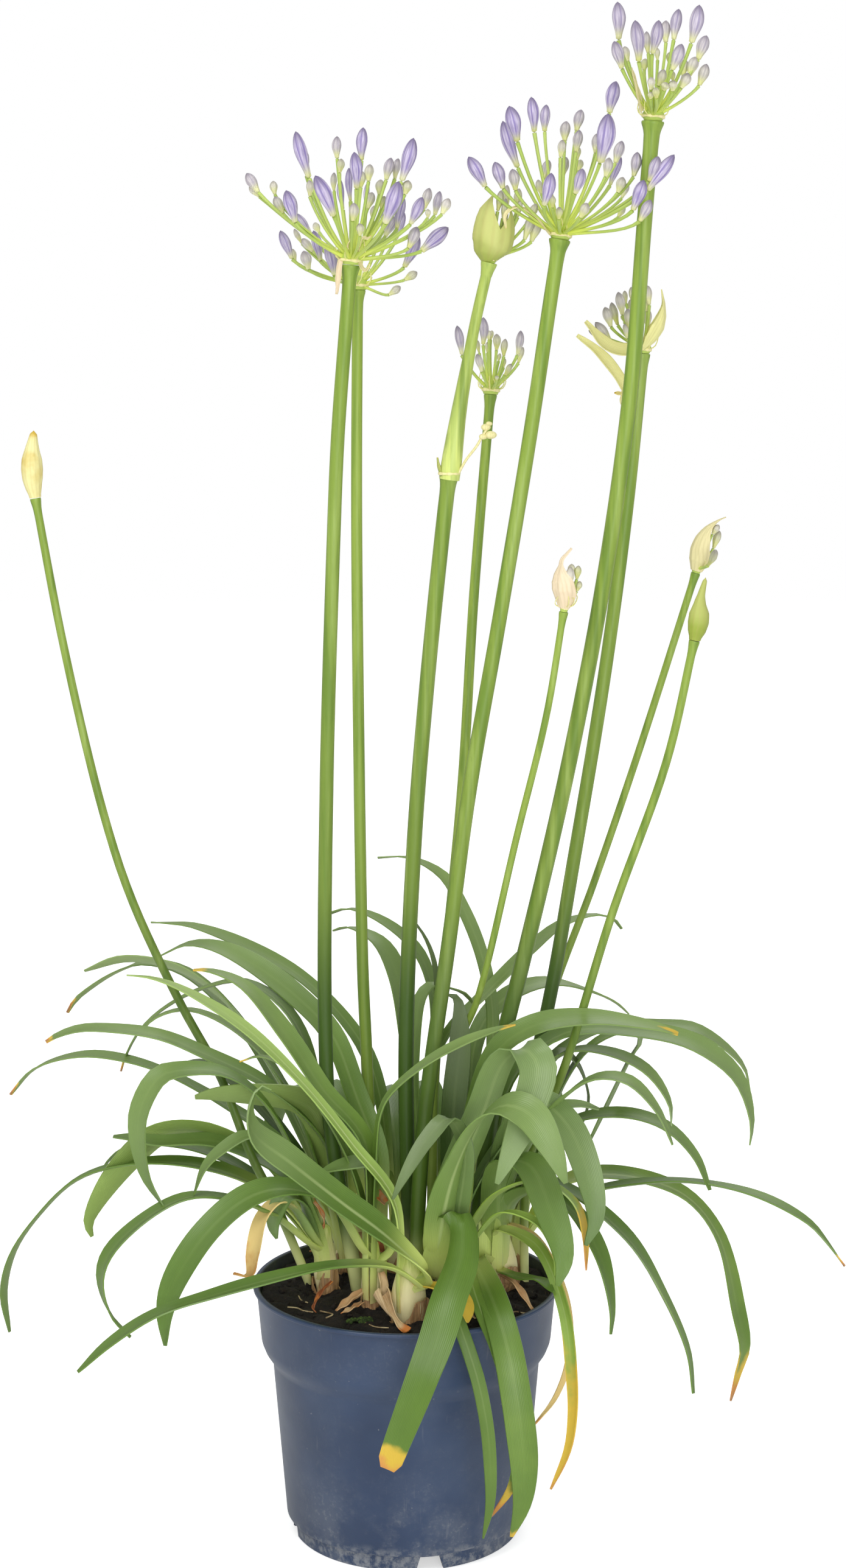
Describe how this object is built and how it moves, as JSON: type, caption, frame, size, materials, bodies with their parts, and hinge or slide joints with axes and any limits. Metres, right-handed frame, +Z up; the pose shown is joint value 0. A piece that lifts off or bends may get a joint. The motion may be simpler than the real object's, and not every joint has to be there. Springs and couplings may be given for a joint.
{
  "type": "potted agapanthus plant",
  "caption": "Agapanthus about to flower, in its pot: arching strap leaves in clumps, tall bare flower stems with umbels of lavender buds, and a tapered nursery pot filled with soil.",
  "frame": {"origin": "on the floor, on the pot's axis, at the middle of its foot ring", "axes": "+Z up along the pot's axis and the flower stems, +X to the plant's right as seen from the front, -Y to the front"},
  "size_m": [0.5217, 0.301, 0.925],
  "materials": {
    "pot_plastic": "dark blue-grey moulded plastic, satin, dusty low down",
    "potting_soil": "dark damp potting mix of bark and peat",
    "leaf": "fresh strap leaves, satin, mid green",
    "flower_stem": "smooth fleshy stem, yellow-green at the top, darker at the foot",
    "flower_buds": "lavender buds with pale green foot on lime pedicels",
    "green_bud_case": "closed papery bud case, pale green",
    "dry_bud_case": "closed papery bud case, dry cream"
  },
  "bodies": {
    "root": {"pot": "pot_plastic", "soil": "potting_soil", "shoot_left": "leaf", "shoot_left_back": "leaf", "shoot_front_left": "leaf", "shoot_front": "leaf", "shoots_right": "leaf", "shoot_right_side": "leaf", "shoot_centre_back": "leaf", "shoot_back_right": "leaf", "shoot_back_left": "leaf", "scape_far_left": "flower_stem", "scape_front_left": "flower_stem", "scape_left_back": "flower_stem", "scape_centre_back": "flower_stem", "scape_middle": "flower_stem", "scape_right": "flower_stem", "scape_right_back": "flower_stem", "scape_splitting_front": "flower_stem", "scape_splitting_back": "flower_stem", "scape_far_right": "flower_stem", "scape_two_tier": "flower_stem", "umbel_front_left": "flower_buds", "umbel_left_back": "flower_buds", "umbel_middle": "flower_buds", "umbel_right": "flower_buds", "umbel_centre_back": "flower_buds", "umbel_right_back": "flower_buds", "umbel_two_tier": "flower_buds", "umbel_splitting_front": "flower_buds", "umbel_splitting_back": "flower_buds", "bud_case_far_right": "green_bud_case", "bud_case_far_left": "dry_bud_case"}
  },
  "joints": []
}
